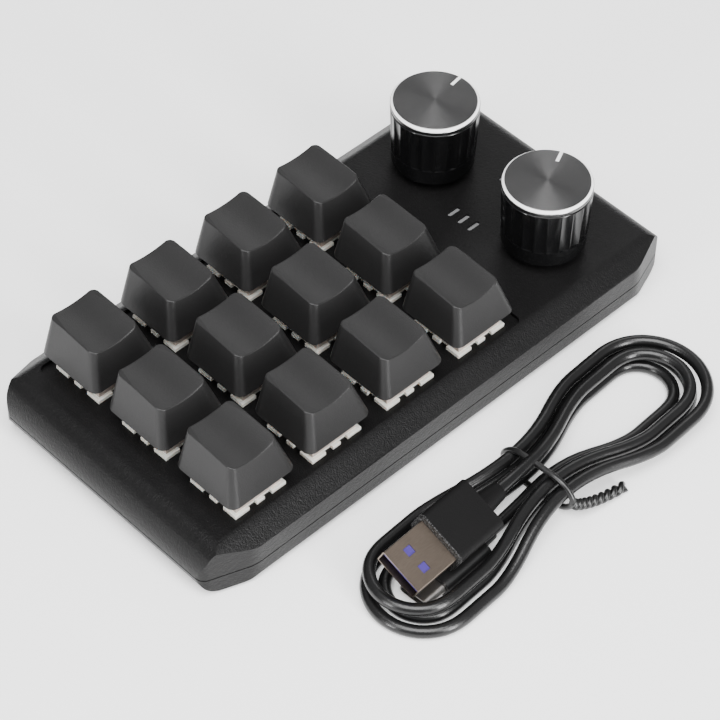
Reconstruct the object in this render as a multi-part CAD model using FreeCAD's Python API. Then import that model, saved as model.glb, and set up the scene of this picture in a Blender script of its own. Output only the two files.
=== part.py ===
import FreeCAD, Part
import math
import os

# Macro keypad: twelve sprung keys, two push-and-turn knobs, and the loose lead that lies beside it.
# +X runs from the keys to the knobs, +Y to the back, +Z up. The origin is on the table,
# under the middle of the case.

V = FreeCAD.Vector
os.makedirs("parts", exist_ok=True)

# Case
case_length = 154.3
case_width = 79.4
foot_proud = 1.0
foot_edge_round = 0.4
lower_shell_height = 5.05
upper_shell_height = 9.15
side_wall = 2.0
corner_run = 12.8
corner_angle = 20.0
corner_round = 3.0
corner_bend_round = 9.0
end_roll_radius = 12.0
end_roll_angle = 35.0
band_run = 4.3
band_drop = 3.4
band_round = 4.0
crisp_round = 0.7
base_edge_round = 1.2
parting_gap = 0.3
lap_skin = 1.0
lap_height = 1.2
lap_fit = 0.1
lap_end_gap = 0.2

# Keys
key_columns = 4
key_rows = 3
key_pitch = 24.0
key_block_from_left = 57.7
recess_margin_x = 11.65
recess_margin_y = 10.1
recess_depth = 1.0
recess_corner = 1.8
plate_thickness = 1.5
key_travel = 4.0

# Switch housings
housing_side = 13.9
housing_fit = 0.05
housing_depth = 5.0
housing_floor = 1.0
housing_wall = 0.85
flange_side = 15.6
flange_thickness = 1.0
flange_pad = 4.3
flange_middle = 2.4
flange_notch_depth = 1.1
cover_foot = 14.0
cover_top_x = 10.6
cover_top_y = 9.6
cover_height = 6.4
cover_skin = 1.0
locating_pole_radius = 2.0
locating_pole_length = 3.2
pole_board_fit = 0.1

# Switch stem and spring
stem_x = 7.0
stem_y = 5.4
stem_slot_gap = 0.3
stem_bottom = 1.2
stem_top = 6.6
stem_hollow_radius = 2.15
stem_roof = 5.2
stem_pin_radius = 0.9
stem_pin_reach = 2.8
stem_pin_end_gap = 0.4
stem_wing_x = 8.2
stem_wing_y = 5.0
stem_wing_height = 1.1
stem_wing_gap = 0.3
guide_bore_gap = 0.1
guide_wall = 0.5
guide_top = -1.0
cross_span = 4.0
cross_thin = 1.1
cross_thick = 1.3
cross_height = 3.6
spring_outer_radius = 1.95
spring_wall = 0.35

# Keycaps
cap_base_width = 20.0
cap_base_front = -9.3
cap_base_back = 10.8
cap_skirt_height = 5.64
cap_top_height = 15.9
cap_top_width = 13.9
cap_top_front = -5.65
cap_top_back = 10.0
cap_base_round = 2.4
cap_top_round = 1.7
cap_wall = 1.3
cap_roof = 2.8
cap_dish_front = 1.5
cap_dish_back = 0.55
cap_edge_round = 0.35
cap_boss_radius = 2.75
cap_boss_gap = 0.2
cross_fit = 0.05
cross_end_gap = 0.4

# Knobs and encoders
knob_off_middle = -1.975
knob_half_spacing = 19.4
knob_bottom_gap = 2.8
knob_height = 17.3
knob_foot_radius = 10.7
knob_head_radius = 11.35
knob_shoulder_round = 0.5
knob_wall = 1.35
knob_roof = 2.0
knob_boss_radius = 4.6
knob_boss_lift = 2.4
knob_band = 4.2
flute_count = 22
flute_depth = 0.3
flute_radius = 5.0
flute_turn = 12.8
knob_cap_spigot = 0.3
knob_cap_spigot_radius = 10.4
knob_cap_radius = 11.3
knob_cap_rim = 0.75
knob_cap_chamfer = 0.8
index_width = 0.9
index_inner = 6.9
index_depth = 0.35
index_angles = {"back": 9.0, "front": 25.0}
shaft_radius = 3.0
shaft_flat = 1.5
shaft_fit = 0.05
shaft_tail_radius = 2.25
shaft_tail_flat = 1.7
shaft_step_lift = 0.4
shaft_top_gap = 0.3
shaft_below_top = 5.3
knob_push = 0.5
encoder_x = 12.4
encoder_y = 13.2
encoder_height = 4.4
encoder_skin = 0.8
encoder_pocket_margin = 0.8
encoder_pocket_gap = 0.1
rotor_radius = 4.8
rotor_side_gap = 0.2
rotor_end_gap = 0.3
bushing_radius = 3.45
bushing_hole_gap = 0.15
bushing_height = 5.8
washer_radius = 5.9
washer_thickness = 0.4
nut_flats = 10.0
nut_thickness = 1.8

# Lamp slots
slot_from_knob = 8.35
slot_pitch = 3.45
slot_count = 3
far_slot_from_knob = 10.05
slot_length = 4.0
slot_width = 1.3
slot_end_round = 0.6
lens_fit = 0.05
lens_sunk = 0.6
lens_flange_margin = 0.55
lens_flange_thickness = 0.8

# Board, screws, feet, socket
board_thickness = 1.6
board_inset = 3.5
corner_screw_from_end = 8.65
corner_screw_from_side = 9.2
boss_radius = 2.8
post_radius = 3.6
screw_radius = 1.2
screw_hole_gap = 0.05
screw_pass_gap = 0.25
screw_length = 9.0
screw_end_gap = 0.3
screw_head_radius = 2.3
screw_head_height = 1.8
screw_head_gap = 0.3
screw_drive_radius = 0.9
screw_drive_depth = 1.0
foot_radius = 5.0
foot_from_end = 22.15
foot_from_side = 12.7
foot_pocket = 0.6
foot_pocket_gap = 0.1
socket_width = 8.94
socket_thickness = 3.26
socket_depth = 7.35
socket_skin = 0.3
socket_back = 0.9
socket_sunk = 0.8
socket_hole_gap = 0.3
socket_tongue_width = 6.69
socket_tongue_thickness = 0.7
socket_tongue_length = 4.5
chip_side = 7.0
chip_height = 0.9
chip_from_knob = 14.7
lamp_side = 1.6
lamp_height = 0.55

# Lead
cable_diameter = 3.2
hank_x = 1.5
hank_y = -64.8
hank_angle = 3.0
layer_gap = 0.5
lane_step = 2.1
first_lane = 2.9
lane_runs = 8
lobe_flare_right = 6.6
lobe_flare_left = 4.9
flare_length = 33.0
lobe_reach = 40.0
tie_radius = 0.8
tie_gap = 0.3
tie_corner = 2.6
tie_tail_length = 15.0
tie_tail_spread = 3.6
plug_v = 0.0
plug_roll = 24.0
plug_relief_end = -13.5
plug_relief_length = 6.8
plug_relief_root = 3.3
plug_relief_tip = 2.4
plug_grip_length = 14.7
plug_grip_width = 14.4
plug_grip_height = 8.0
plug_grip_round = 1.6
plug_shell_width = 12.0
plug_shell_height = 4.5
plug_shell_length = 12.7
plug_shell_skin = 0.3
plug_shell_seat = 3.0
plug_shell_fit = 0.05
plug_window = 2.2
plug_window_spacing = 5.0
plug_window_from_mouth = 5.2
plug_tongue_thickness = 1.9
plug_tongue_side_gap = 0.15
plug_tongue_sunk = 0.8
small_plug_v = -2.0
small_relief_end = -18.0
small_relief_length = 5.0
small_relief_root = 2.4
small_relief_tip = 2.1
small_grip_length = 15.0
small_grip_width = 10.0
small_grip_height = 5.0
small_grip_round = 1.6
small_shell_width = 8.34
small_shell_height = 2.56
small_shell_length = 6.5
small_shell_skin = 0.35
plug_stack_gap = 0.3

# Levels that follow from the sizes above
half_x = case_length / 2
half_y = case_width / 2
key_block_x = key_block_from_left - half_x
key_block_end = key_block_x + (key_columns - 1) / 2 * key_pitch + recess_margin_x
knob_x = (key_block_end + half_x) / 2 + knob_off_middle
base_z = foot_proud
part_z = base_z + lower_shell_height
top_z = part_z + upper_shell_height
plate_z = top_z - recess_depth
roof_z = plate_z - plate_thickness
board_top = plate_z - housing_depth
board_bottom = board_top - board_thickness
knob_z = top_z + knob_bottom_gap
far = 400.0


# Helpers for outlines and solids
def rounded_wire(corners, radii, place):
    """Closed outline through the corners, each rounded; place turns (a, b) into a point."""
    edges = []
    count = len(corners)
    starts = []
    ends = []
    middles = []
    for i in range(count):
        here = V(corners[i][0], corners[i][1], 0)
        back = V(corners[i - 1][0], corners[i - 1][1], 0) - here
        ahead = V(corners[(i + 1) % count][0], corners[(i + 1) % count][1], 0) - here
        back.normalize()
        ahead.normalize()
        half = back.getAngle(ahead) / 2
        bisector = (back + ahead).normalize()
        reach = radii[i] / math.tan(half)
        centre = here + bisector * (radii[i] / math.sin(half))
        starts.append(here + back * reach)
        ends.append(here + ahead * reach)
        middles.append(centre - bisector * radii[i])
    for i in range(count):
        edges.append(Part.LineSegment(place(ends[i - 1]), place(starts[i])).toShape())
        edges.append(Part.Arc(place(starts[i]), place(middles[i]), place(ends[i])).toShape())
    return Part.Wire(edges)


def flat(z):
    return lambda p: V(p.x, p.y, z)


def across(x):
    return lambda p: V(x, p.x, p.y)


def prism(wire, direction):
    return Part.Face(wire).extrude(direction)


def rectangle_corners(x0, x1, y0, y1):
    return [(x0, y0), (x1, y0), (x1, y1), (x0, y1)]


def rounded_block(size_x, size_y, radius, z0, z1, x=0.0, y=0.0):
    corners = rectangle_corners(x - size_x / 2, x + size_x / 2, y - size_y / 2, y + size_y / 2)
    return prism(rounded_wire(corners, [radius] * 4, flat(z0)), V(0, 0, z1 - z0))


def block(size_x, size_y, z0, z1, x=0.0, y=0.0):
    return Part.makeBox(size_x, size_y, z1 - z0, V(x - size_x / 2, y - size_y / 2, z0))


def rod(radius, z0, z1, x=0.0, y=0.0):
    return Part.makeCylinder(radius, z1 - z0, V(x, y, z0))


def cone(radius0, radius1, z0, z1, x=0.0, y=0.0):
    return Part.makeCone(radius0, radius1, z1 - z0, V(x, y, z0))


def slab(z0, z1):
    return Part.makeBox(far, far, z1 - z0, V(-far / 2, -far / 2, z0))


def d_rod(radius, flat_distance, z0, z1):
    """Round bar with one flat, on the Z axis; the flat faces +X."""
    return rod(radius, z0, z1).cut(block(radius, 4 * radius, z0 - 1, z1 + 1, flat_distance + radius / 2))


def rect_wire(x0, x1, y0, y1, z):
    return Part.makePolygon([V(x0, y0, z), V(x1, y0, z), V(x1, y1, z), V(x0, y1, z), V(x0, y0, z)])


def moved(shape, x, y, z=0.0):
    copy = shape.copy()
    copy.translate(V(x, y, z))
    return copy


def export(name, shapes):
    group = shapes if isinstance(shapes, list) else [shapes]
    solids = [solid for shape in group for solid in shape.Solids]
    for solid in solids:
        if not solid.isValid() or solid.Volume <= 0:
            raise ValueError(name + " is not a sound solid")
    shape = solids[0] if len(solids) == 1 else Part.makeCompound(solids)
    shape.exportStep("parts/" + name + ".step")
    box = shape.BoundBox
    print("%-24s %2d solids %9.1f mm3  x %.1f..%.1f  y %.1f..%.1f  z %.1f..%.1f" % (
        name, len(solids), shape.Volume, box.XMin, box.XMax, box.YMin, box.YMax, box.ZMin, box.ZMax))
    return shape


# Case
def mirrored_outline(first):
    """Full outline, anticlockwise, from the corners of the +X +Y quarter given in that order."""
    quarter = list(first)
    left = [(-x, y) for x, y in reversed(quarter)]
    below = [(-x, -y) for x, y in quarter]
    right = [(x, -y) for x, y in reversed(quarter)]
    return quarter + left + below + right


def plan_prism(inset, z0, z1):
    """The case in plan: straight sides, and corners cut at a shallow angle."""
    turn = math.radians(corner_angle)
    reach = math.sin(turn) * (half_x - corner_run) + math.cos(turn) * half_y - inset
    x = half_x - inset
    y = half_y - inset
    bend_x = (reach - math.cos(turn) * y) / math.sin(turn)
    corner_y = (reach - math.sin(turn) * x) / math.cos(turn)
    corners = mirrored_outline([(x, corner_y), (bend_x, y)])
    tight = max(corner_round - inset, 0.5)
    wide = corner_bend_round - inset
    radii = [tight, wide, wide, tight, tight, wide, wide, tight]
    return prism(rounded_wire(corners, radii, flat(z0)), V(0, 0, z1 - z0))


def side_prism(inset):
    """The case seen from the front: the ends roll over into the top and under into the base."""
    turn = math.radians(end_roll_angle)
    crown = (upper_shell_height - end_roll_radius * math.sin(turn)) / (1 - math.sin(turn))
    low_x = half_x - end_roll_radius
    high_x = low_x + (end_roll_radius - crown) * math.cos(turn)
    high_z = part_z + (end_roll_radius - crown) * math.sin(turn)
    foot_x0 = half_x - lower_shell_height

    def polar(x, z, radius, angle):
        return x + radius * math.cos(angle), z + radius * math.sin(angle)

    right_arcs = []
    for x, z, radius, a0, a1 in (
            (foot_x0, part_z, lower_shell_height - inset, -math.pi / 2, 0.0),
            (low_x, part_z, end_roll_radius - inset, 0.0, turn),
            (high_x, high_z, crown - inset, turn, math.pi / 2)):
        right_arcs.append([polar(x, z, radius, a) for a in (a0, (a0 + a1) / 2, a1)])

    def place(p, sign):
        return V(sign * p[0], -half_y - 1, p[1])

    edges = [Part.Arc(*[place(p, 1) for p in arc]).toShape() for arc in right_arcs]
    edges.append(Part.LineSegment(place(right_arcs[-1][2], 1), place(right_arcs[-1][2], -1)).toShape())
    for arc in reversed(right_arcs):
        edges.append(Part.Arc(*[place(p, -1) for p in reversed(arc)]).toShape())
    edges.append(Part.LineSegment(place(right_arcs[0][0], -1), place(right_arcs[0][0], 1)).toShape())
    return prism(Part.Wire(edges), V(0, case_width + 2, 0))


def end_prism(inset):
    """The case seen from the end: upright walls, then a band that slopes up to the flat top."""
    slope = math.atan2(band_drop, band_run)
    reach = math.sin(slope) * half_y + math.cos(slope) * (top_z - band_drop) - inset
    y = half_y - inset
    z = top_z - inset
    wall_z = (reach - math.sin(slope) * y) / math.cos(slope)
    flat_y = (reach - math.cos(slope) * z) / math.sin(slope)
    low_z = base_z + inset
    corners = [(y, low_z), (y, wall_z), (flat_y, z), (-flat_y, z), (-y, wall_z), (-y, low_z)]
    sharp = 0.3
    base = max(base_edge_round - inset, sharp)
    crisp = max(crisp_round - inset, sharp)
    top = band_round - inset
    wire = rounded_wire(corners, [base, crisp, top, top, crisp, base], across(-half_x - 1))
    return prism(wire, V(case_length + 2, 0, 0))


def case_block(inset):
    body = plan_prism(inset, base_z - 1, top_z + 1)
    return body.common(side_prism(inset)).common(end_prism(inset))


def key_centres():
    for row in range(key_rows):
        for column in range(key_columns):
            x = key_block_x + (column - (key_columns - 1) / 2) * key_pitch
            y = (row - (key_rows - 1) / 2) * key_pitch
            yield row, column, x, y


def knob_centres():
    return {"back": (knob_x, knob_half_spacing), "front": (knob_x, -knob_half_spacing)}


def screw_centres():
    x = half_x - corner_screw_from_end
    y = half_y - corner_screw_from_side
    corners = [(sx * x, sy * y) for sx in (-1, 1) for sy in (-1, 1)]
    return corners + [(key_block_x + key_pitch, sy * key_pitch / 2) for sy in (-1, 1)]


def screw_seat():
    return base_z + side_wall


def foot_centres():
    x = half_x - foot_from_end
    y = half_y - foot_from_side
    return [(sx * x, sy * y) for sx in (-1, 1) for sy in (-1, 1)]


def slot_centres():
    middle = (slot_count - 1) / 2
    row = [(knob_x - slot_from_knob, (i - middle) * slot_pitch) for i in range(slot_count)]
    return row + [(knob_x + far_slot_from_knob, slot_pitch)]


def socket_z():
    return board_bottom - socket_thickness / 2


def pill(width, thickness, y0, y1, z):
    """Bar along Y with half-round sides, centred on x = 0."""
    r = thickness / 2
    middle = Part.makeBox(width - thickness, y1 - y0, thickness, V(r - width / 2, y0, z - r))
    for sx in (-1, 1):
        middle = middle.fuse(Part.makeCylinder(r, y1 - y0, V(sx * (width / 2 - r), y0, z), V(0, 1, 0)))
    return middle.removeSplitter()


def socket_opening():
    width = socket_width + 2 * socket_hole_gap
    thickness = socket_thickness + 2 * socket_hole_gap
    return pill(width, thickness, half_y - 2 * side_wall, half_y + 1, socket_z())


def recess_block():
    size_x = (key_columns - 1) * key_pitch + 2 * recess_margin_x
    size_y = (key_rows - 1) * key_pitch + 2 * recess_margin_y
    return rounded_block(size_x, size_y, recess_corner, plate_z, top_z + 1, key_block_x)


def top_shell(outer, hollow):
    inner = hollow.common(slab(0, roof_z))
    shell = outer.common(slab(part_z + parting_gap / 2, top_z + 1)).cut(inner)
    rebate = case_block(lap_skin).common(slab(0, part_z + lap_height + lap_end_gap))
    shell = shell.cut(rebate)
    additions = [rod(boss_radius, board_top, roof_z + 0.5, x, y) for x, y in screw_centres()]
    shell = shell.fuse(additions)
    cuts = [recess_block(), socket_opening()]
    hole = housing_side + 2 * housing_fit
    for _, _, x, y in key_centres():
        cuts.append(block(hole, hole, roof_z - 1, plate_z + 1, x, y))
    for x, y in knob_centres().values():
        cuts.append(rod(bushing_radius + bushing_hole_gap, roof_z - 1, top_z + 1, x, y))
        pocket_top = board_top + encoder_height + encoder_pocket_gap
        cuts.append(block(encoder_x + 2 * encoder_pocket_margin, encoder_y + 2 * encoder_pocket_margin,
                          roof_z - 1, pocket_top, x, y))
    for x, y in slot_centres():
        cuts.append(rounded_block(slot_length, slot_width, slot_end_round,
                                  roof_z - 1, top_z + 1, x, y))
    for x, y in screw_centres():
        cuts.append(rod(screw_radius + screw_hole_gap, board_top - 1,
                        screw_seat() + screw_length + screw_end_gap, x, y))
    return shell.cut(cuts)


def bottom_shell(outer, hollow):
    shell = outer.common(slab(0, part_z - parting_gap / 2)).cut(hollow)
    lap = case_block(lap_skin + lap_fit).cut(hollow)
    shell = shell.fuse(lap.common(slab(part_z - 1, part_z + lap_height)))
    seat = screw_seat()
    posts = [rod(post_radius, seat - 0.5, board_bottom, x, y) for x, y in screw_centres()]
    shell = shell.fuse(posts)
    cuts = [socket_opening()]
    for x, y in screw_centres():
        cuts.append(rod(screw_radius + screw_pass_gap, seat - 1, board_bottom + 1, x, y))
        cuts.append(rod(screw_head_radius + screw_head_gap, base_z - 1, seat, x, y))
    for x, y in foot_centres():
        cuts.append(rod(foot_radius + foot_pocket_gap, base_z - 1, base_z + foot_pocket, x, y))
    return shell.cut(cuts)


def circuit_board():
    board = plan_prism(board_inset, board_bottom, board_top)
    cuts = [rod(screw_radius + screw_pass_gap, board_bottom - 1, board_top + 1, x, y)
            for x, y in screw_centres()]
    for _, _, x, y in key_centres():
        cuts.append(rod(locating_pole_radius + pole_board_fit, board_bottom - 1, board_top + 1, x, y))
    pieces = [board.cut(cuts)]
    pieces.append(block(chip_side, chip_side, board_bottom - chip_height, board_bottom,
                        knob_x - chip_from_knob))
    for x, y in slot_centres():
        pieces.append(block(lamp_side, lamp_side / 2, board_top, board_top + lamp_height, x, y))
    return pieces


def case_screws():
    seat = screw_seat()
    screws = []
    for x, y in screw_centres():
        screw = rod(screw_radius, seat, seat + screw_length, x, y)
        screw = screw.fuse(rod(screw_head_radius, seat - screw_head_height, seat, x, y))
        drive = [rod(screw_drive_radius, seat - screw_head_height - 1,
                     seat - screw_head_height + screw_drive_depth, x, y)]
        screws.append(screw.cut(drive))
    return screws


def rubber_feet():
    feet = []
    for x, y in foot_centres():
        foot = rod(foot_radius, 0, base_z + foot_pocket, x, y)
        rim = [edge for edge in foot.Edges if abs(edge.CenterOfMass.z) < 0.01 and edge.Closed]
        feet.append(foot.makeFillet(foot_edge_round, rim))
    return feet


def usb_socket():
    mouth = half_y - socket_sunk
    back = mouth - socket_depth
    z = socket_z()
    shell = pill(socket_width, socket_thickness, back, mouth, z)
    cavity = pill(socket_width - 2 * socket_skin, socket_thickness - 2 * socket_skin,
                  back + socket_back, mouth + 1, z)
    tongue = Part.makeBox(socket_tongue_width, socket_tongue_length + socket_back,
                          socket_tongue_thickness,
                          V(-socket_tongue_width / 2, back, z - socket_tongue_thickness / 2))
    return shell.cut(cavity).fuse(tongue).removeSplitter()


def indicator_lenses():
    lenses = []
    size_x = slot_length - 2 * lens_fit
    size_y = slot_width - 2 * lens_fit
    for x, y in slot_centres():
        lens = rounded_block(size_x, size_y, slot_end_round - lens_fit, roof_z, top_z - lens_sunk, x, y)
        flange = block(slot_length + 2 * lens_flange_margin, slot_width + 2 * lens_flange_margin,
                       roof_z - lens_flange_thickness, roof_z, x, y)
        lenses.append(lens.fuse(flange))
    return lenses


# Switches: heights are measured from the plate, then lifted to it
def switch_cover():
    half = flange_side / 2
    cover = block(flange_side, flange_side, 0, flange_thickness)
    notches = []
    notch = (flange_side - 2 * flange_pad - flange_middle) / 2
    for side in (-1, 1):
        for place in (-1, 1):
            along = place * (flange_middle + notch) / 2
            edge = side * (half - flange_notch_depth / 2)
            notches.append(block(notch, flange_notch_depth, -1, flange_thickness + 1, along, edge))
            notches.append(block(flange_notch_depth, notch, -1, flange_thickness + 1, edge, along))
    cover = cover.cut(notches)
    foot = cover_foot / 2
    hood = Part.makeLoft([rect_wire(-foot, foot, -foot, foot, flange_thickness),
                          rect_wire(-cover_top_x / 2, cover_top_x / 2,
                                    -cover_top_y / 2, cover_top_y / 2, cover_height)], True, True)
    cover = cover.fuse(hood)
    room = housing_side / 2 - housing_wall
    top_x = cover_top_x / 2 - cover_skin
    top_y = cover_top_y / 2 - cover_skin
    inside = Part.makeLoft([rect_wire(-room, room, -room, room, 0),
                            rect_wire(-top_x, top_x, -top_y, top_y, cover_height - cover_skin)], True, True)
    mouth = block(stem_x + 2 * stem_slot_gap, stem_y + 2 * stem_slot_gap, cover_height - 3, cover_height + 1)
    return cover.cut([inside, mouth]).removeSplitter()


def housing_inside():
    return housing_floor - housing_depth


def guide_radius():
    return stem_pin_radius + guide_bore_gap


def switch_base():
    base = block(housing_side, housing_side, -housing_depth, 0)
    room = housing_side - 2 * housing_wall
    floor = housing_inside()
    base = base.cut(block(room, room, floor, 1))
    pole_end = -housing_depth - locating_pole_length
    guide = rod(guide_radius() + guide_wall, floor - 0.2, guide_top)
    pole = rod(locating_pole_radius, pole_end, -housing_depth + 0.2)
    base = base.fuse([guide, pole])
    bore_end = -stem_pin_reach - key_travel - stem_pin_end_gap
    return base.cut(rod(guide_radius(), bore_end, 0))


def key_stem():
    stem = block(stem_x, stem_y, stem_bottom, stem_top)
    wing_top = cover_height - cover_skin - stem_wing_gap
    stem = stem.fuse(block(stem_wing_x, stem_wing_y, wing_top - stem_wing_height, wing_top))
    stem = stem.cut(rod(stem_hollow_radius, stem_bottom - 1, stem_roof))
    pin = rod(stem_pin_radius, -stem_pin_reach, stem_roof + 0.5)
    arms = [block(cross_span, cross_thin, stem_top - 0.5, stem_top + cross_height),
            block(cross_thick, cross_span, stem_top - 0.5, stem_top + cross_height)]
    return stem.fuse([pin] + arms).removeSplitter()


def key_spring():
    floor = housing_inside()
    inner = spring_outer_radius - spring_wall
    return rod(spring_outer_radius, floor, stem_roof).cut(rod(inner, floor - 1, stem_roof + 1))


def cap_wire(shrink, front, back, width, radius, z):
    corners = rectangle_corners(shrink - width / 2, width / 2 - shrink, front + shrink, back - shrink)
    return rounded_wire(corners, [radius] * 4, flat(z))


def cap_dish():
    reach = cap_top_width / 2
    middle = (cap_dish_front + cap_dish_back) / 2
    radius = (reach ** 2 + middle ** 2) / (2 * middle)
    fall = (cap_dish_front - cap_dish_back) / (cap_top_back - cap_top_front)
    start = cap_top_front - cap_top_width
    floor = cap_top_height - cap_dish_front - fall * cap_top_width
    return Part.makeCylinder(radius, 3 * cap_top_width, V(0, start, floor + radius), V(0, 1, fall))


def keycap():
    low = cap_skirt_height
    high = cap_top_height
    outer = Part.makeLoft([cap_wire(0, cap_base_front, cap_base_back, cap_base_width, cap_base_round, low),
                           cap_wire(0, cap_top_front, cap_top_back, cap_top_width, cap_top_round, high)],
                          True, True)
    outer = outer.cut(cap_dish())
    rim = [edge for edge in outer.Edges if edge.BoundBox.ZMin > high - cap_dish_front - 0.3]
    outer = outer.makeFillet(cap_edge_round, rim)
    roof = high - cap_roof
    inner = Part.makeLoft([cap_wire(cap_wall, cap_base_front, cap_base_back, cap_base_width, 1.6, low),
                           cap_wire(cap_wall, cap_top_front, cap_top_back, cap_top_width, 0.6, roof)],
                          True, True)
    cap = outer.cut(inner)
    boss_z = stem_top + cap_boss_gap
    cap = cap.fuse(rod(cap_boss_radius, boss_z, roof + 0.3))
    span = cross_span + 2 * cross_fit
    top = stem_top + cross_height + cross_end_gap
    return cap.cut([block(span, cross_thin + 2 * cross_fit, boss_z - 1, top),
                    block(cross_thick + 2 * cross_fit, span, boss_z - 1, top)])


# Knobs and encoders: built on the Z axis, then moved to their places
def knob_body():
    top = knob_z + knob_height
    body = cone(knob_foot_radius, knob_head_radius, knob_z, top)
    rim = [edge for edge in body.Edges if edge.Closed and abs(edge.CenterOfMass.z - top) < 0.01]
    body = body.makeFillet(knob_shoulder_round, rim)
    lean = math.degrees(math.atan2(knob_head_radius - knob_foot_radius, knob_height))
    low = knob_z + knob_band
    radius_there = knob_foot_radius + (knob_head_radius - knob_foot_radius) * knob_band / knob_height
    flutes = []
    for i in range(flute_count):
        flute = Part.makeCylinder(flute_radius, knob_height - knob_band - knob_shoulder_round)
        flute.rotate(V(0, 0, 0), V(0, 1, 0), lean)
        flute.translate(V(radius_there - flute_depth + flute_radius, 0, low))
        flute.rotate(V(0, 0, 0), V(0, 0, 1), flute_turn + (i + 0.5) * 360.0 / flute_count)
        flutes.append(flute)
    body = body.cut(flutes)
    room = knob_foot_radius - knob_wall
    hollow = rod(room, knob_z - 1, top - knob_roof)
    boss_z = knob_z + knob_boss_lift
    hollow = hollow.cut(rod(knob_boss_radius, boss_z, top))
    bore = d_rod(shaft_radius + shaft_fit, shaft_flat + shaft_fit, knob_z - 1, shaft_top() + shaft_top_gap)
    return body.cut([hollow, bore])


def shaft_top():
    return knob_z + knob_height - shaft_below_top


def rotor_levels():
    low = board_top + encoder_skin + rotor_end_gap
    high = board_top + encoder_height - encoder_skin - rotor_end_gap
    return low, high


def knob_shaft():
    low, high = rotor_levels()
    step = board_top + encoder_height - shaft_step_lift
    flat_z = knob_z + knob_boss_lift - knob_push
    shaft = rod(shaft_radius, step, flat_z).fuse(d_rod(shaft_radius, shaft_flat, flat_z, shaft_top()))
    tail = d_rod(shaft_tail_radius, shaft_tail_flat, low + rotor_end_gap, step)
    return shaft.fuse(tail).removeSplitter()


def encoder_rotor():
    low, high = rotor_levels()
    hole = d_rod(shaft_tail_radius + shaft_fit, shaft_tail_flat + shaft_fit, low - 1, high + 1)
    return rod(rotor_radius, low, high).cut(hole)


def encoder_base():
    top = board_top + encoder_height
    base = block(encoder_x, encoder_y, board_top, top)
    base = base.fuse(rod(bushing_radius, top - 0.2, top + bushing_height))
    room = rod(rotor_radius + rotor_side_gap, board_top + encoder_skin, top - encoder_skin)
    bore = rod(shaft_radius + shaft_fit, top - encoder_skin - 0.2, top + bushing_height + 1)
    return base.cut([room, bore])


def encoder_nut():
    hole = rod(bushing_radius + shaft_fit, top_z - 1, top_z + 10)
    washer = rod(washer_radius, top_z, top_z + washer_thickness).cut(hole)
    round_to_flats = nut_flats / 2 / math.cos(math.radians(30))
    nut_z = top_z + washer_thickness
    turns = [math.radians(60 * i) for i in range(7)]
    corners = [V(round_to_flats * math.cos(a), round_to_flats * math.sin(a), nut_z) for a in turns]
    nut = prism(Part.makePolygon(corners), V(0, 0, nut_thickness)).cut(hole)
    return [washer, nut]


def knob_cap(index_angle):
    z = knob_z + knob_height
    rim_z = z + knob_cap_spigot
    bevel_z = rim_z + knob_cap_rim
    top = bevel_z + knob_cap_chamfer
    cap = rod(knob_cap_spigot_radius, z, rim_z + 0.1)
    cap = cap.fuse([rod(knob_cap_radius, rim_z, bevel_z),
                    cone(knob_cap_radius, knob_cap_radius - knob_cap_chamfer, bevel_z, top)])
    length = knob_cap_radius + 1 - index_inner
    groove = block(length, index_width, top - index_depth, top + 1, index_inner + length / 2)
    groove.rotate(V(0, 0, 0), V(0, 0, 1), index_angle)
    return cap.removeSplitter().cut(groove)


# Lead: u runs along the hank, v across it, w up from the table
def biarc(p0, t0, p1, t1):
    """Two arcs, or one line, from p0 along t0 to p1 along t1."""
    v = p1 - p0
    if (v.normalize() - t0).Length < 1e-6 and (t0 - t1).Length < 1e-6:
        return [Part.LineSegment(p0, p1).toShape()]
    v = p1 - p0
    b = v.dot(t0 + t1)
    a = 2 * (t0.dot(t1) - 1)
    if abs(a) < 1e-9:
        d = v.dot(v) / (2 * b)
    else:
        d = (2 * b - math.sqrt(4 * b * b - 4 * a * v.dot(v))) / (2 * a)
        d = max(d, (2 * b + math.sqrt(4 * b * b - 4 * a * v.dot(v))) / (2 * a))
    joint = (p0 + t0 * d + p1 - t1 * d) * 0.5
    return [tangent_arc(p0, t0, joint, False), tangent_arc(p1, t1 * -1, joint, True)]


def tangent_arc(start, tangent, end, backwards):
    chord = end - start
    length = chord.Length
    along = V(chord).normalize()
    out = (tangent - along * tangent.dot(along)).normalize()
    rise = length / 2 * math.tan(tangent.getAngle(along) / 2)
    middle = start + chord * 0.5 + out * rise
    if backwards:
        return Part.Arc(end, middle, start).toShape()
    return Part.Arc(start, middle, end).toShape()


def lane(run):
    """Signed distance of a run from the hank's middle line, spiralling out and in again."""
    turn_back = lane_runs // 2 - 1
    steps = run if run <= turn_back else 2 * turn_back - run
    return (1 if run % 2 == 0 else -1) * (first_lane + lane_step * steps)


def layer_height(run, waist):
    low = cable_diameter / 2
    upper = low + cable_diameter + layer_gap
    lift = 2 * tie_radius + tie_gap if waist else 0.0
    return (upper if run < lane_runs // 2 else low) + lift


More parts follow.
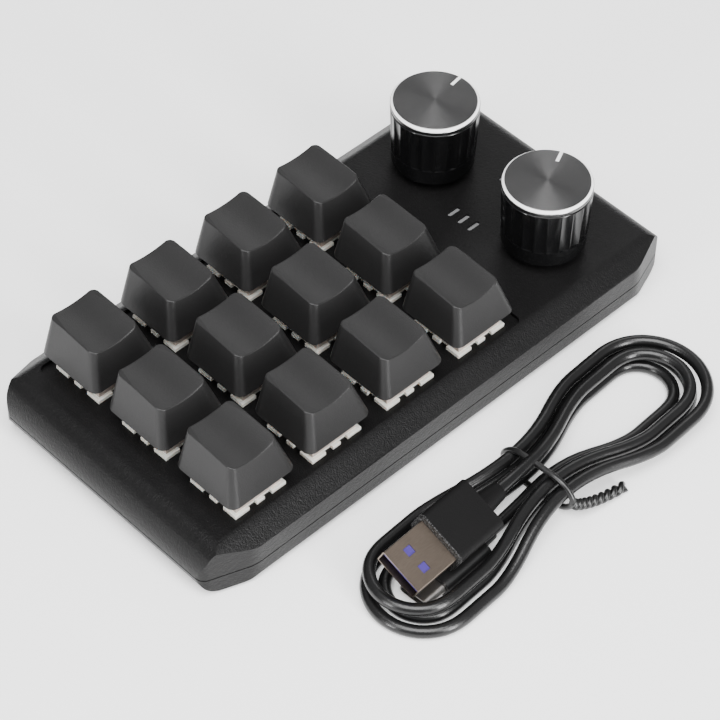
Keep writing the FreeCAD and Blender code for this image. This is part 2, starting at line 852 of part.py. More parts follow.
def hank_stations():
    """Points and directions that the cable passes through, from one plug to the other."""
    right = V(1, 0, 0)
    left = V(-1, 0, 0)
    stations = [(V(plug_relief_end, plug_v, plug_w()), right)]
    for run in range(lane_runs):
        outward = run % 2 == 0
        heading = right if outward else left
        v = lane(run)
        sign = 1 if v > 0 else -1
        right_v = v + sign * lobe_flare_right
        left_v = v + sign * lobe_flare_left
        waist = (V(0, v, layer_height(run, True)), heading)
        right_w = layer_height(run, False)
        left_run = run if run != lane_runs // 2 - 1 else run + 1
        left_w = layer_height(left_run, False)
        right_side = [(V(flare_length, right_v, right_w), heading),
                      (V(lobe_reach, right_v, right_w), heading)]
        left_side = [(V(-lobe_reach, left_v, left_w), heading),
                     (V(-flare_length, left_v, left_w), heading)]
        if outward:
            stations += (left_side if run > 0 else []) + [waist] + right_side
        else:
            stations += right_side[::-1] + [waist]
            if run < lane_runs - 1:
                stations += left_side[::-1]
    stations.append((V(small_relief_end + cable_diameter, small_plug_v, small_w()), left))
    stations.append((V(small_relief_end, small_plug_v, small_w()), left))
    return stations


def small_w():
    return small_grip_height / 2


def plug_w():
    roll = math.radians(plug_roll)
    reach = plug_grip_width / 2 * math.sin(roll) + plug_grip_height / 2 * math.cos(roll)
    return small_grip_height + plug_stack_gap + reach


def rolled(shape):
    """The large plug leans on one edge of its grip, about the cable's own line."""
    shape.rotate(V(0, plug_v, plug_w()), V(1, 0, 0), plug_roll)
    return shape


def tube(edges, radius, tangent):
    wire = Part.Wire(edges)
    start = edges[0].valueAt(edges[0].FirstParameter)
    ring = Part.Wire(Part.makeCircle(radius, start, tangent))
    return wire.makePipeShell([ring], True, False)


def least_gap(edges):
    """Least distance between the surfaces of turns, from points 1 mm apart along the cable."""
    points = []
    travelled = 0.0
    for edge in edges:
        count = max(2, int(edge.Length) + 1)
        found = edge.discretize(count)
        if (found[0] - edge.valueAt(edge.FirstParameter)).Length > 1e-6:
            found.reverse()
        step = edge.Length / (count - 1)
        for i, point in enumerate(found[:-1]):
            points.append((travelled + i * step, point))
        travelled += edge.Length
    least = far
    for i, (s0, p0) in enumerate(points):
        for s1, p1 in points[i + 1:]:
            if s1 - s0 > 4 * cable_diameter:
                least = min(least, (p1 - p0).Length)
    return least - cable_diameter, travelled


def cable_hank():
    stations = hank_stations()
    edges = []
    for (p0, t0), (p1, t1) in zip(stations, stations[1:]):
        edges += biarc(p0, t0, p1, t1)
    radii = [edge.Curve.Radius for edge in edges if hasattr(edge.Curve, "Radius")]
    gap, length = least_gap(edges)
    cable = tube(edges, cable_diameter / 2, stations[0][1])
    section = math.pi * cable_diameter ** 2 / 4
    print("cable length %.0f mm, least radius %.1f mm, least gap %.2f mm, volume ratio %.4f" % (
        length, min(radii), gap, cable.Volume / (section * length)))
    return cable


def cable_tie():
    clear = cable_diameter / 2 + tie_gap + tie_radius
    lanes = [lane(run) for run in range(lane_runs)]
    top = layer_height(0, True) + clear
    corners = rectangle_corners(min(lanes) - clear, max(lanes) + clear, tie_radius, top)
    path = rounded_wire(corners, [tie_corner] * 4, across(0))
    first = path.OrderedEdges[0]
    start = first.valueAt(first.FirstParameter)
    tangent = first.tangentAt(first.FirstParameter)
    ring = Part.Wire(Part.makeCircle(tie_radius, start, tangent))
    band = path.makePipeShell([ring], True, False)
    side = V(0, min(lanes) - clear, top / 2)
    end = V(tie_tail_length, side.y - tie_tail_spread, tie_radius * 1.2)
    tail = tube(biarc(side, V(0, -1, 0), end, V(1, 0, 0)), tie_radius * 1.1, V(0, -1, 0))
    return band.fuse(tail)


def bar_along_u(width, height, radius, u0, u1, v, w):
    corners = rectangle_corners(v - width / 2, v + width / 2, w - height / 2, w + height / 2)
    return prism(rounded_wire(corners, [radius] * 4, across(u0)), V(u1 - u0, 0, 0))


def relief(u0, u1, root, tip, v, w):
    return Part.makeCone(root, tip, u1 - u0, V(u0, v, w), V(1, 0, 0))


def plug_grip():
    w = plug_w()
    rear = plug_relief_end - plug_relief_length
    front = rear - plug_grip_length
    grip = bar_along_u(plug_grip_width, plug_grip_height, plug_grip_round, front, rear, plug_v, w)
    grip = grip.fuse(relief(rear - 0.5, plug_relief_end, plug_relief_root, plug_relief_tip, plug_v, w))
    pocket = bar_along_u(plug_shell_width + 2 * plug_shell_fit, plug_shell_height + 2 * plug_shell_fit, 0.4,
                         front - 1, front + plug_shell_seat, plug_v, w)
    return rolled(grip.cut(pocket))


def plug_shell():
    w = plug_w()
    rear = plug_relief_end - plug_relief_length - plug_grip_length + plug_shell_seat
    mouth = rear - plug_shell_seat - plug_shell_length
    shell = bar_along_u(plug_shell_width, plug_shell_height, 0.4, mouth, rear, plug_v, w)
    room = bar_along_u(plug_shell_width - 2 * plug_shell_skin, plug_shell_height - 2 * plug_shell_skin, 0.2,
                       mouth - 1, rear + 1, plug_v, w)
    windows = []
    for side in (-1, 1):
        u = mouth + plug_window_from_mouth
        v = plug_v + side * plug_window_spacing / 2
        windows.append(block(plug_window, plug_window, w - far / 4, w + far / 4, u, v))
    return rolled(shell.cut([room] + windows))


def plug_tongue():
    w = plug_w()
    rear = plug_relief_end - plug_relief_length - plug_grip_length + plug_shell_seat
    mouth = rear - plug_shell_seat - plug_shell_length
    width = plug_shell_width - 2 * plug_shell_skin - 2 * plug_tongue_side_gap
    top = w + plug_shell_height / 2 - plug_shell_skin
    length = rear - mouth - plug_tongue_sunk
    tongue = Part.makeBox(length, width, plug_tongue_thickness,
                          V(mouth + plug_tongue_sunk, plug_v - width / 2, top - plug_tongue_thickness))
    return rolled(tongue)


def device_plug():
    w = small_w()
    v = small_plug_v
    rear = small_relief_end - small_relief_length
    front = rear - small_grip_length
    grip = bar_along_u(small_grip_width, small_grip_height, small_grip_round, front, rear, v, w)
    grip = grip.fuse(relief(rear - 0.5, small_relief_end, small_relief_root, small_relief_tip, v, w))
    shell = pill(small_shell_width, small_shell_height, front - small_shell_length, front, 0)
    skin = small_shell_skin
    room = pill(small_shell_width - 2 * skin, small_shell_height - 2 * skin,
                front - small_shell_length - 1, front - 1, 0)
    shell = shell.cut(room)
    shell.rotate(V(0, 0, 0), V(0, 0, 1), -90)
    shell.translate(V(0, v, w))
    return [grip, shell]


def on_table(shapes):
    """Turn and move lead pieces from the hank's own axes to their place beside the keypad."""
    placed = []
    for shape in shapes if isinstance(shapes, list) else [shapes]:
        copy = shape.copy()
        copy.rotate(V(0, 0, 0), V(0, 0, 1), hank_angle)
        copy.translate(V(hank_x, hank_y, 0))
        placed.append(copy)
    return placed


def build():
    outer = case_block(0.0)
    hollow = case_block(side_wall)
    export("top_shell", top_shell(outer, hollow))
    export("bottom_shell", bottom_shell(outer, hollow))
    export("circuit_board", circuit_board())
    export("case_screws", case_screws())
    export("rubber_feet", rubber_feet())
    export("usb_socket", usb_socket())
    export("indicator_lenses", indicator_lenses())
    cap = keycap()
    stem = key_stem()
    cover = switch_cover()
    base = switch_base()
    spring = key_spring()
    bases = []
    springs = []
    rows = ("front", "middle", "back")
    for row, column, x, y in key_centres():
        place = rows[row] + "_" + str(column + 1)
        export("keycap_" + place, moved(cap, x, y, plate_z))
        export("key_stem_" + place, moved(stem, x, y, plate_z))
        export("switch_cover_" + place, moved(cover, x, y, plate_z))
        bases.append(moved(base, x, y, plate_z))
        springs.append(moved(spring, x, y, plate_z))
    export("switch_bases", bases)
    export("key_springs", springs)
    encoder_parts = [encoder_base()] + encoder_nut()
    body = knob_body()
    shaft = knob_shaft()
    rotor = encoder_rotor()
    bases = []
    for place, (x, y) in knob_centres().items():
        bases += [moved(piece, x, y) for piece in encoder_parts]
        export("encoder_rotor_" + place, moved(rotor, x, y))
        export("knob_shaft_" + place, moved(shaft, x, y))
        export("knob_body_" + place, moved(body, x, y))
        export("knob_cap_" + place, moved(knob_cap(index_angles[place]), x, y))
    export("encoder_bases", bases)
    export("cable_hank", on_table(cable_hank()))
    export("cable_tie", on_table(cable_tie()))
    export("usb_plug_grip", on_table(plug_grip()))
    export("usb_plug_shell", on_table(plug_shell()))
    export("usb_plug_tongue", on_table(plug_tongue()))
    export("device_plug", on_table(device_plug()))


build()
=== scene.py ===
import math
import bpy
from mathutils import Matrix, Vector


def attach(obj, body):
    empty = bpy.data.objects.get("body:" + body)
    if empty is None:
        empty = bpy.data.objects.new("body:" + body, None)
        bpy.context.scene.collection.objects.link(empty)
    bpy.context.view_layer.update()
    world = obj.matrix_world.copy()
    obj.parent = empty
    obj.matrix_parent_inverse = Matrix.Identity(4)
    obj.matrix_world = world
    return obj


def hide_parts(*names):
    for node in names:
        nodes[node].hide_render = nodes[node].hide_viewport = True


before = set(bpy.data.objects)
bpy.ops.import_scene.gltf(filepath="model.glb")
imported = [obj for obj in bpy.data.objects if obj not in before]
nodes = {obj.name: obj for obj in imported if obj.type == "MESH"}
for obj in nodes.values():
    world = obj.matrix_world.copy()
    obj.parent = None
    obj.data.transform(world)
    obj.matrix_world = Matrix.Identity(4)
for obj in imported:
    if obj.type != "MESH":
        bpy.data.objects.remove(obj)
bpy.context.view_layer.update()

mm = 0.001
print("frame loaded:", len(nodes), "nodes")


# the lead, in millimetres: u runs along the hank, v across it, w up from the table
lead = {
    "diameter": 3.2,
    "middle": (1.5, -64.8),
    "turn": 3.0,  # degrees between the hank and the case
    "runs": 8,
    "firstLane": 2.9,
    "laneStep": 2.1,
    "layerGap": 0.5,
    "tieLift": 1.9,  # the runs rise this far to clear the tie's wire
    "flare": {1: 6.6, -1: 4.9},  # how far the right and the left loops open
    "flareLength": 33.0,
    "liftedAt": 0.25,  # shares of flareLength
    "openAt": (0.75, 1.05),
    "reach": 40.0,  # from the middle to the round ends of the loops
    "tipSteps": 6,
    "plugEnd": (-13.5, 0.0, 11.88),
    "plugStraight": 1.5,  # diameters
    "smallPlugEnd": (-18.0, -2.0, 2.5),
    "smallPlugStraight": 2.0,  # diameters
    "length": 0.853,  # metres from end to end
}


# shader maths: a Value is a node's output, and sums on it add Math nodes
class Value:
    def __init__(self, finish, socket):
        self.finish = finish
        self.socket = socket

    def __add__(self, other):
        return self.finish.maths("ADD", self, other)

    def __sub__(self, other):
        return self.finish.maths("SUBTRACT", self, other)

    def __rsub__(self, other):
        return self.finish.maths("SUBTRACT", other, self)

    def __mul__(self, other):
        return self.finish.maths("MULTIPLY", self, other)

    def __gt__(self, other):
        return self.finish.maths("GREATER_THAN", self, other)

    def __lt__(self, other):
        return self.finish.maths("LESS_THAN", self, other)

    __radd__ = __add__
    __rmul__ = __mul__


class Finish:
    def __init__(self, name, **fixed):
        self.material = bpy.data.materials.new(name)
        self.material.use_nodes = True
        self.tree = self.material.node_tree
        self.shader = self.tree.nodes["Principled BSDF"]
        for socketName, value in fixed.items():
            self.shader.inputs[socketName.replace("_", " ")].default_value = value
        self.place = self.node("TexCoord", {}, {}, output="Object")

    def node(self, kind, settings, inputs, output=0):
        made = self.tree.nodes.new("ShaderNode" + kind)
        for setting, value in settings.items():
            setattr(made, setting, value)
        for socketName, value in inputs.items():
            if isinstance(value, Value):
                self.tree.links.new(value.socket, made.inputs[socketName])
            else:
                made.inputs[socketName].default_value = value
        return Value(self, made.outputs[output])

    def maths(self, operation, first, second):
        return self.node("Math", {"operation": operation}, {0: first, 1: second})

    def noise(self, scale, detail=2.0, roughness=0.5, place=None):
        sockets = {"Vector": place or self.place, "Scale": scale, "Detail": detail, "Roughness": roughness}
        return self.node("TexNoise", {}, sockets)

    # a Mix node's colours go in at 6 and 7 and come out at 2
    def blend(self, share, first, second):
        first, second = (v if isinstance(v, Value) else (*v, 1) for v in (first, second))
        return self.node("Mix", {"data_type": "RGBA"}, {"Factor": share, 6: first, 7: second}, output=2)

    def spread(self, share, low, high):
        return share * (high - low) + low

    def stretched(self, x, y, z):
        return self.node("Mapping", {}, {"Vector": self.place, "Scale": (x, y, z)})

    def axes(self):
        split = self.node("SeparateXYZ", {}, {"Vector": self.place}).socket.node
        return [Value(self, output) for output in split.outputs]

    def radius(self, centre):
        x, y, z = self.axes()
        across, along = x - centre[0] * mm, y - centre[1] * mm
        return self.node("Math", {"operation": "SQRT"}, {0: across * across + along * along})

    def alongHank(self):
        turn = math.radians(lead["turn"])
        x, y, z = self.axes()
        return (x - lead["middle"][0] * mm) * math.cos(turn) + (y - lead["middle"][1] * mm) * math.sin(turn)

    def feed(self, socketName, value):
        self.tree.links.new(value.socket, self.shader.inputs[socketName])

    def bump(self, height, distance):
        self.feed("Normal", self.node("Bump", {}, {"Height": height, "Distance": distance, "Strength": 1.0}))


# every moulded plastic: faint mottling, patches handled smoother, a fine grain over a coarser one
moulding = {
    "mottle": (90, 4.0),  # a noise's scale and detail, and its roughness where a third number follows
    "patches": (35, 3.0),
    "fineGrain": (2.0, 0.6),  # detail and roughness, because each plastic has a scale of its own
    "coarseScale": 0.37,  # share of the fine grain's
    "coarseDetail": 1.0,
    "coarseShare": 0.5,
}


def moulded(name, dark, light, roughness, grain, depth, specular):
    finish = Finish(name, Specular_IOR_Level=specular)
    finish.feed("Base Color", finish.blend(finish.noise(*moulding["mottle"]), dark, light))
    finish.feed("Roughness", finish.spread(finish.noise(*moulding["patches"]), *roughness))
    fine = finish.noise(grain, *moulding["fineGrain"])
    coarse = finish.noise(grain * moulding["coarseScale"], moulding["coarseDetail"])
    finish.bump(fine + coarse * moulding["coarseShare"], depth)
    return finish.material


# every metal: fine lines, patchy polish
plating = {
    "lines": (600, 3.0, 0.6),
    "patches": (120, 2.0),
    "patchShare": 0.6,
}


def plated(name, dark, light, roughness, squeeze, depth):
    finish = Finish(name, Metallic=1.0)
    lines = finish.noise(*plating["lines"], finish.stretched(*squeeze))
    finish.feed("Base Color", finish.blend(lines, dark, light))
    share = plating["patchShare"]
    polish = finish.noise(*plating["patches"]) * share + lines * (1 - share)
    finish.feed("Roughness", finish.spread(polish, *roughness))
    finish.bump(lines, depth)
    return finish.material


# dark, light, roughness from and to, grain's scale, grain's depth, specular level
plastics = {
    "casePlastic": ((0.0038, 0.0037, 0.0038), (0.0062, 0.0060, 0.0061), (0.27, 0.40), 2600, 0.00012, 0.15),
    "capPlastic": ((0.0110, 0.0108, 0.0109), (0.0150, 0.0147, 0.0148), (0.33, 0.43), 3600, 0.00004, 0.28),
    "stemPlastic": ((0.10, 0.10, 0.11), (0.14, 0.14, 0.15), (0.35, 0.45), 3000, 0.00001, 0.5),
    "basePlastic": ((0.014, 0.014, 0.014), (0.022, 0.021, 0.021), (0.45, 0.6), 3600, 0.00003, 0.4),
    "rotorPlastic": ((0.16, 0.16, 0.16), (0.22, 0.22, 0.22), (0.4, 0.5), 2600, 0.00002, 0.5),
    "footRubber": ((0.010, 0.010, 0.010), (0.020, 0.020, 0.019), (0.7, 0.85), 2400, 0.00006, 0.3),
    "lensPlastic": ((0.12, 0.12, 0.123), (0.19, 0.19, 0.193), (0.30, 0.42), 2600, 0.00002, 0.5),
    "knobGloss": ((0.0022, 0.0022, 0.0024), (0.0035, 0.0035, 0.0037), (0.14, 0.22), 900, 0.00001, 0.34),
    "jacket": ((0.0035, 0.0035, 0.0036), (0.0060, 0.0059, 0.0060), (0.22, 0.32), 1500, 0.00003, 0.42),
    "tieCoat": ((0.0030, 0.0030, 0.0031), (0.0055, 0.0054, 0.0055), (0.25, 0.36), 1800, 0.00004, 0.5),
}
# dark, light, roughness from and to, how much narrower the lines are along x, y and z, their depth
metals = {
    "screwMetal": ((0.20, 0.20, 0.21), (0.32, 0.32, 0.33), (0.30, 0.45), (1, 1, 6), 0.00001),
    "socketMetal": ((0.50, 0.50, 0.50), (0.66, 0.65, 0.64), (0.25, 0.38), (1, 8, 1), 0.00001),
    "springMetal": ((0.48, 0.48, 0.49), (0.62, 0.62, 0.63), (0.22, 0.34), (1, 1, 8), 0.00001),
    "encoderMetal": ((0.42, 0.42, 0.42), (0.56, 0.55, 0.54), (0.28, 0.42), (6, 1, 1), 0.00001),
    "shaftMetal": ((0.50, 0.50, 0.51), (0.66, 0.66, 0.67), (0.20, 0.32), (1, 1, 9), 0.00001),
    "plugMetal": ((0.155, 0.125, 0.102), (0.225, 0.185, 0.150), (0.24, 0.38), (1, 7, 7), 0.00001),
}
materials = {name: moulded(name, *looks) for name, looks in plastics.items()}
materials.update({name: plated(name, *looks) for name, looks in metals.items()})


# the switches' top housings: milky flange, and above it darker and warmer, which is painted shade under the
# keycap
cover = {
    "milk": {"Subsurface_Weight": 0.35, "Subsurface_Scale": 0.0012, "Subsurface_Radius": (1.0, 0.8, 0.7)},
    "cloud": (420, 4.0, 0.65),
    "flange": ((0.80, 0.76, 0.68), (0.95, 0.92, 0.84)),
    "flangeTop": 0.01528,
    # painted shade: the colour of the cover above the flange, where the keycap shades it
    "upper": ((0.30, 0.24, 0.21), (0.52, 0.46, 0.42)),
    "patches": (200, 2.0),
    "roughness": (0.28, 0.40),
    "grain": (2400, 2.0),
    "grainDepth": 0.00002,
}


def milkyCover():
    finish = Finish("milkyCover", **cover["milk"])
    z = finish.axes()[2]
    cloud = finish.noise(*cover["cloud"])
    flange = finish.blend(cloud, *cover["flange"])
    upper = finish.blend(cloud, *cover["upper"])
    # above the flange the colour is painted shade from the keycap over it, not a colour of the plastic
    finish.feed("Base Color", finish.blend(z > cover["flangeTop"], flange, upper))
    finish.feed("Roughness", finish.spread(finish.noise(*cover["patches"]), *cover["roughness"]))
    finish.bump(finish.noise(*cover["grain"]), cover["grainDepth"])
    return finish.material


# spun top of a knob: turned rings, a bright bevel, and a white painted index line
knobs = {"back": (50.7, 19.4), "front": (50.7, -19.4)}  # the axes, in millimetres
spun = {
    "top": 0.03715,
    "pitch": 0.00017,
    "ringDepth": 0.000012,
    "stain": (160, 3.0),
    "face": ((0.112, 0.111, 0.111), (0.132, 0.131, 0.131)),
    "bevelFrom": 0.01092,
    "bevelFoot": 0.03636,
    "bevelShade": (0.26, 0.26, 0.26),
    "indexFrom": 0.0068,
    "indexTo": 0.01118,
    "indexSink": 0.00012,
    "indexPaint": (0.90, 0.90, 0.90),
    "roughness": 0.29,
    "stainRoughness": 0.04,
    "bevelPolish": 0.12,
    "paintRoughness": 0.2,
}


def spunTop(name, centre):
    finish = Finish("spunTop_" + name)
    r = finish.radius(centre)
    z = finish.axes()[2]
    bevel = (r > spun["bevelFrom"]) * (z > spun["bevelFoot"])
    line = (z < spun["top"] - spun["indexSink"]) * (r > spun["indexFrom"]) * (r < spun["indexTo"])
    rings = finish.node("Math", {"operation": "SINE"}, {0: r * (2 * math.pi / spun["pitch"])})
    stain = finish.noise(*spun["stain"])
    metal = finish.blend(bevel, finish.blend(stain, *spun["face"]), spun["bevelShade"])
    finish.feed("Base Color", finish.blend(line, metal, spun["indexPaint"]))
    finish.feed("Metallic", 1.0 - line)
    worn = stain * spun["stainRoughness"] + spun["roughness"]
    finish.feed("Roughness", worn - bevel * spun["bevelPolish"] + line * spun["paintRoughness"])
    finish.bump(rings * (1.0 - bevel) * (1.0 - line), spun["ringDepth"])
    return finish.material


# the large plug's grip: matte, with a speckled painted highlight along its edge where the metal leaves it
grip = {
    "specular": 0.12,
    "mottle": (90, 4.0),
    "coat": ((0.0018, 0.0017, 0.0018), (0.0034, 0.0032, 0.0033)),
    "edgeHighlightAt": -0.03455,  # metres along the hank
    "specks": (4200, 2.0, 0.7),
    "speckFrom": 0.55,
    # colour of the painted highlight along the grip's front edge
    "highlightShade": (0.09, 0.09, 0.09),
    "patches": (60, 3.0),
    "roughness": (0.46, 0.58),
    "grain": (3000, 2.0, 0.6),
    "grainDepth": 0.00006,
}


def gripCoat():
    finish = Finish("gripCoat", Specular_IOR_Level=grip["specular"])
    # painted highlight: pale specks along the grip's front edge stand in for light catching that edge
    paintedEdgeHighlight = (finish.alongHank() < grip["edgeHighlightAt"]) * (finish.noise(*grip["specks"]) > grip["speckFrom"])
    body = finish.blend(finish.noise(*grip["mottle"]), *grip["coat"])
    finish.feed("Base Color", finish.blend(paintedEdgeHighlight, body, grip["highlightShade"]))
    finish.feed("Roughness", finish.spread(finish.noise(*grip["patches"]), *grip["roughness"]))
    finish.bump(finish.noise(*grip["grain"]), grip["grainDepth"])
    return finish.material


# the small plug: a like coat, and a steel end beyond the grip
smallPlug = {
    "mottle": (90, 4.0),
    "coat": ((0.0042, 0.0042, 0.0044), (0.0080, 0.0079, 0.0080)),
    "steelAt": -0.03802,  # metres along the hank
    "steelMottle": (500, 3.0),
    "steel": ((0.40, 0.38, 0.36), (0.56, 0.54, 0.52)),
    "steelPolish": 0.14,
    "patches": (80, 3.0),
    "roughness": (0.42, 0.52),
    "grain": (2600, 2.0, 0.6),
    "grainDepth": 0.00003,
}


def smallPlugCoat():
    finish = Finish("smallPlugCoat")
    steel = finish.alongHank() < smallPlug["steelAt"]
    coat = finish.blend(finish.noise(*smallPlug["mottle"]), *smallPlug["coat"])
    metal = finish.blend(finish.noise(*smallPlug["steelMottle"]), *smallPlug["steel"])
    finish.feed("Base Color", finish.blend(steel, coat, metal))
    finish.feed("Metallic", steel)
    patches = finish.spread(finish.noise(*smallPlug["patches"]), *smallPlug["roughness"])
    finish.feed("Roughness", patches - steel * smallPlug["steelPolish"])
    finish.bump(finish.noise(*smallPlug["grain"]), smallPlug["grainDepth"])
    return finish.material


# the large plug's tongue
tongue = {
    "mottle": (500, 3.0),
    "violet": ((0.024, 0.011, 0.115), (0.042, 0.022, 0.175)),
    "patches": (300, 2.0),
    "roughness": (0.34, 0.44),
    "grain": (2200, 2.0),
    "grainDepth": 0.00001,
}


def violetTongue():
    finish = Finish("violetTongue")
    finish.feed("Base Color", finish.blend(finish.noise(*tongue["mottle"]), *tongue["violet"]))
    finish.feed("Roughness", finish.spread(finish.noise(*tongue["patches"]), *tongue["roughness"]))
    finish.bump(finish.noise(*tongue["grain"]), tongue["grainDepth"])
    return finish.material


# circuit board: solder mask over traces that run along and across it
board = {
    "mottle": (70, 3.0),
    "mask": ((0.008, 0.035, 0.018), (0.014, 0.052, 0.028)),
    "alongScale": 260,
    "acrossScale": 240,
    "traceNoise": (1.0, 0.4),  # detail and roughness
    "drawnOut": 0.12,
    "along": (0.56, 0.60),  # a trace is where the noise lies between these
    "across": (0.57, 0.61),
    "traceShade": (0.03, 0.12, 0.06),
    "traceHeight": 0.00003,
    "patches": (150, 2.0),
    "roughness": (0.3, 0.4),
}


def boardMask():
    finish = Finish("boardMask")
    lengthways = finish.stretched(board["drawnOut"], 1, 1)
    crossways = finish.stretched(1, board["drawnOut"], 1)
    along = finish.noise(board["alongScale"], *board["traceNoise"], lengthways)
    across = finish.noise(board["acrossScale"], *board["traceNoise"], crossways)
    alongTrace = (along > board["along"][0]) * (along < board["along"][1])
    acrossTrace = (across > board["across"][0]) * (across < board["across"][1])
    trace = alongTrace + acrossTrace
    mask = finish.blend(finish.noise(*board["mottle"]), *board["mask"])
    finish.feed("Base Color", finish.blend(trace, mask, board["traceShade"]))
    finish.feed("Roughness", finish.spread(finish.noise(*board["patches"]), *board["roughness"]))
    finish.bump(trace, board["traceHeight"])
    return finish.material


materials["milkyCover"] = milkyCover()
materials["gripCoat"] = gripCoat()
materials["smallPlugCoat"] = smallPlugCoat()
materials["violetTongue"] = violetTongue()
materials["boardMask"] = boardMask()
materials.update({"spunTop_" + name: spunTop(name, centre) for name, centre in knobs.items()})

# the start of a node's name: its finish
finishes = {
    "top_shell": "casePlastic",
    "bottom_shell": "casePlastic",
    "circuit_board": "boardMask",
    "case_screws": "screwMetal",
    "rubber_feet": "footRubber",
    "usb_socket": "socketMetal",
    "indicator_lenses": "lensPlastic",
    "keycap": "capPlastic",
    "key_stem": "stemPlastic",
    "switch_cover": "milkyCover",
    "switch_bases": "basePlastic",
    "key_springs": "springMetal",
    "encoder_bases": "encoderMetal",
    "encoder_rotor": "rotorPlastic",
    "knob_shaft": "shaftMetal",
    "knob_body": "knobGloss",
    "knob_cap_back": "spunTop_back",
    "knob_cap_front": "spunTop_front",
    "cable_hank": "jacket",
    "cable_tie": "tieCoat",
    "usb_plug_grip": "gripCoat",
    "usb_plug_shell": "plugMetal",
    "usb_plug_tongue": "violetTongue",
    "device_plug": "smallPlugCoat",
}
for name, node in nodes.items():
    look = next(look for start, look in finishes.items() if name.startswith(start))
    node.data.materials.clear()
    node.data.materials.append(materials[look])
print("materials made:", len(materials))


# the large plug's folded metal has soft edges
shellEdge = {"width": 0.00012, "segments": 2, "sharperThan": 50}
rolled = nodes["usb_plug_shell"].modifiers.new("rolledEdges", "BEVEL")
rolled.width = shellEdge["width"]
rolled.segments = shellEdge["segments"]
rolled.limit_method = "ANGLE"
rolled.angle_limit = math.radians(shellEdge["sharperThan"])
print("plug edges rolled")


# camera, as the photograph was taken
camera = {
    "azimuth": -44.47,
    "elevation": 48.18,
    "roll": 0.91,
    "place": (-335.25, -348.5, 535.2),
    "focalPixels": 2920.49,
    "picturePixels": 720,
    "sensor": 36.0,
    "clipStart": 0.01,
}


def makeCamera():
    azimuth, elevation, roll = (math.radians(camera[k]) for k in ("azimuth", "elevation", "roll"))
    back = Vector((math.sin(azimuth) * math.cos(elevation), -math.cos(azimuth) * math.cos(elevation),
                   math.sin(elevation)))
    right = Vector((0, 0, 1)).cross(back).normalized()
    up = back.cross(right)
    turnedRight = right * math.cos(roll) + up * math.sin(roll)
    turnedUp = up * math.cos(roll) - right * math.sin(roll)
    lens = bpy.data.cameras.new("photoCamera")
    lens.sensor_width = camera["sensor"]
    lens.lens = camera["focalPixels"] / camera["picturePixels"] * camera["sensor"]
    lens.clip_start = camera["clipStart"]
    made = bpy.data.objects.new("photoCamera", lens)
    bpy.context.scene.collection.objects.link(made)
    turn = Matrix((turnedRight, turnedUp, back)).transposed().to_4x4()
    made.matrix_world = Matrix.Translation(Vector(camera["place"]) * mm) @ turn
    bpy.context.scene.camera = made


makeCamera()
print("camera placed")


def onTable(u, v, w):
    turn = math.radians(lead["turn"])
    x = lead["middle"][0] + u * math.cos(turn) - v * math.sin(turn)
    y = lead["middle"][1] + u * math.sin(turn) + v * math.cos(turn)
    return Vector((x, y, w)) * mm


def laneOf(run):
    turnBack = lead["runs"] // 2 - 1
    steps = run if run <= turnBack else 2 * turnBack - run
    return (1 if run % 2 == 0 else -1) * (lead["firstLane"] + lead["laneStep"] * steps)


def layerOf(run):
    low = lead["diameter"] / 2
    return low + lead["diameter"] + lead["layerGap"] if run < lead["runs"] // 2 else low


def lobeOf(run, side):
    lane = laneOf(run)
    crossing = lead["runs"] // 2 - 1  # this run climbs down to the lower layer on its left half
    height = layerOf(run + 1) if run == crossing and side < 0 else layerOf(run)
    return lane + math.copysign(lead["flare"][side], lane), height


def halfRun(run, side):
    v, w = lobeOf(run, side)
    length = side * lead["flareLength"]
    lifted = (length * lead["liftedAt"], laneOf(run), layerOf(run) + lead["tieLift"])
    return [lifted] + [(length * share, v, w) for share in lead["openAt"]]


def tip(run, side):
    v0, w = lobeOf(run, side)
    v1 = lobeOf(run + 1, side)[0]
    middle = (v0 + v1) / 2
    step = math.pi / lead["tipSteps"]
    outer = abs(v0 - v1) / 2 / math.cos(step / 2)
    points = []
    for i in range(lead["tipSteps"]):
        angle = (1 if v0 > v1 else -1) * (math.pi / 2 - step * (i + 0.5))
        points.append((side * (lead["reach"] + outer * math.cos(angle)), middle + outer * math.sin(angle), w))
    return points


def leadPoints():
    u, v, w = lead["plugEnd"]
    points = [(u, v, w), (u + lead["diameter"] * lead["plugStraight"], v, w)]
    for run in range(lead["runs"]):
        side = 1 if run % 2 == 0 else -1
        if run > 0:
            points += reversed(halfRun(run, -side))
        if run < lead["runs"] - 1:
            points += halfRun(run, side) + tip(run, side)
    u, v, w = lead["smallPlugEnd"]
    return points + [(u + lead["diameter"] * lead["smallPlugStraight"], v, w), (u, v, w)]


def addSpline(curve, points, radius, cyclic=False):
    spline = curve.splines.new("NURBS")
    spline.points.add(len(points) - 1)
    for point, place in zip(spline.points, points):
        point.co = (*place, 1)
        point.radius = radius * mm
    spline.order_u = 3
    spline.use_cyclic_u = cyclic
    spline.use_endpoint_u = not cyclic
    spline.resolution_u = 6


# each point carries the tube's radius, so the bevel itself is one metre
def tubeCurve(name, material):
    curve = bpy.data.curves.new(name, "CURVE")
    curve.dimensions = "3D"
    curve.bevel_depth = 1.0
    curve.bevel_resolution = 5
    curve.use_fill_caps = True
    curve.materials.append(material)
    made = bpy.data.objects.new(name, curve)
    bpy.context.scene.collection.objects.link(made)
    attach(made, "case")
    return made


# the wire tie: a band round the waist, its two ends twisted together and laid out along the table
wireTie = {
    "wireRadius": 0.8,
    "sides": (-11.9, 9.8),
    "heights": (0.8, 9.9),
    "corner": 3.4,
    "tail": ((0.0, -11.9, 4.95), (3.5, -14.2, 3.0), (15.0, -15.3, 1.3)),
    "turns": 4.5,
    "pointsPerTurn": 8,
    "twistRadius": 0.92,  # share of wireRadius
    "tableGap": 0.02,
}


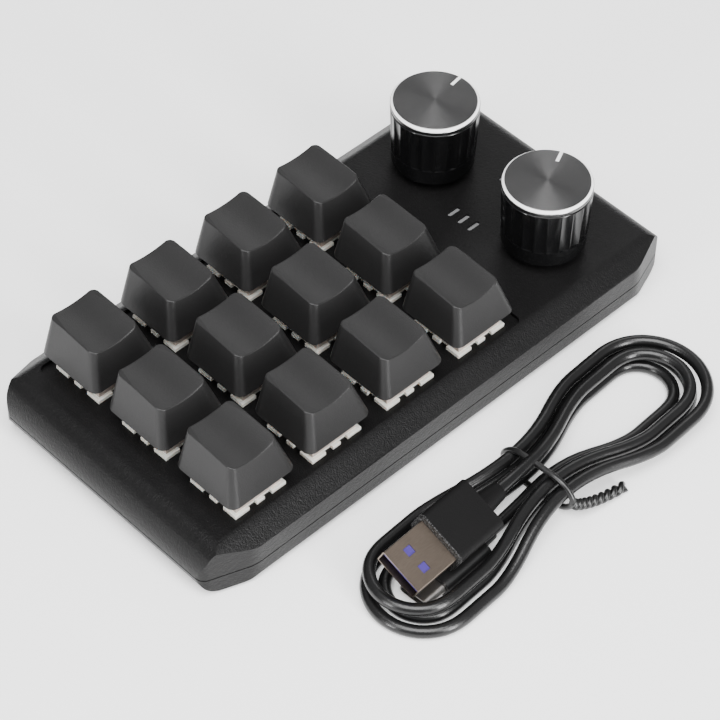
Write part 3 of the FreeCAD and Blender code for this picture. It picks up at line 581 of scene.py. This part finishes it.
def bandPoints():
    left, right = wireTie["sides"]
    low, high = wireTie["heights"]
    middle, corner = (left + right) / 2, wireTie["corner"]
    band = [(left, low + corner), (left, high - corner), (left + corner, high), (middle, high),
            (right - corner, high), (right, high - corner), (right, low + corner), (right - corner, low),
            (middle, low), (left + corner, low)]
    return [onTable(0.0, v, w) for v, w in band]


def tailPoints(phase):
    start, bend, end = (Vector(p) for p in wireTie["tail"])
    apart = wireTie["wireRadius"] * wireTie["twistRadius"]
    lowest = wireTie["wireRadius"] + wireTie["tableGap"]
    steps = int(wireTie["turns"] * wireTie["pointsPerTurn"])
    points = []
    for i in range(steps + 1):
        t = i / steps
        centre = start * (1 - t) ** 2 + bend * (2 * t * (1 - t)) + end * t ** 2
        forward = ((bend - start) * (1 - t) + (end - bend) * t).normalized()
        side = forward.cross(Vector((0, 0, 1))).normalized()
        up = side.cross(forward)
        turn = phase + 2 * math.pi * wireTie["turns"] * t
        u, v, w = centre + (side * math.cos(turn) + up * math.sin(turn)) * apart
        points.append(onTable(u, v, max(w, lowest)))
    return points


def makeTie():
    tie = tubeCurve("wireTie", materials["tieCoat"])
    addSpline(tie.data, bandPoints(), wireTie["wireRadius"], cyclic=True)
    for phase in (0.0, math.pi):
        addSpline(tie.data, tailPoints(phase), wireTie["wireRadius"])
    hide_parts("cable_tie")
    return tie


def makeLead(tie):
    made = tubeCurve("leadCable", materials["jacket"])
    addSpline(made.data, [onTable(*p) for p in leadPoints()], lead["diameter"] / 2)
    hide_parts("cable_hank")
    onTable(*lead["plugEnd"])


makeLead(makeTie())
print("lead made")


# floor and light
studio = {
    "floorSize": 6.0,
    "floorShade": 0.9,
    "floorLift": 1.02,  # the palest patches, times floorShade
    "floorPatches": (6, 2.0),
    "floorRoughness": 0.9,
    "floorGlow": 0.38,
    "sky": (0.98, 0.985, 1.0),
    "skyStrength": 0.42,
    # name: place, width, height, power
    "lights": {
        "overhead": ((-0.35, -0.3, 1.25), 1.0, 1.0, 36),
        "left": ((-0.85, 0.02, 0.62), 0.3, 0.5, 2),
        "front": ((0.02, -0.85, 0.62), 0.3, 0.5, 8.5),
        "back": ((0.82, 0.6, 0.85), 0.5, 0.5, 2.0),
        "lowLeft": ((-0.9, 0.0, 0.22), 0.1, 0.3, 3.5),
        "lowFront": ((0.0, -0.9, 0.22), 0.1, 0.3, 6.5),
    },
}


def makeFloor():
    bpy.ops.mesh.primitive_plane_add(size=studio["floorSize"])
    floor = bpy.context.object
    floor.name = "floor"
    finish = Finish("floorPaper", Roughness=studio["floorRoughness"], Emission_Strength=studio["floorGlow"])
    dull = (studio["floorShade"],) * 3
    pale = (studio["floorShade"] * studio["floorLift"],) * 3
    paper = finish.blend(finish.noise(*studio["floorPatches"]), dull, pale)
    finish.feed("Base Color", paper)
    finish.feed("Emission Color", paper)
    floor.data.materials.append(finish.material)


def makeLights():
    world = bpy.data.worlds.new("studio")
    world.use_nodes = True
    background = world.node_tree.nodes["Background"]
    background.inputs["Color"].default_value = (*studio["sky"], 1)
    background.inputs["Strength"].default_value = studio["skyStrength"]
    bpy.context.scene.world = world
    for name, (place, width, height, power) in studio["lights"].items():
        light = bpy.data.lights.new(name, "AREA")
        light.shape = "RECTANGLE"
        light.size = width
        light.size_y = height
        light.energy = power
        made = bpy.data.objects.new(name, light)
        bpy.context.scene.collection.objects.link(made)
        made.location = place
        made.rotation_mode = "QUATERNION"
        made.rotation_quaternion = (-Vector(place)).to_track_quat("-Z", "Y")


makeFloor()
makeLights()
print("studio lit")
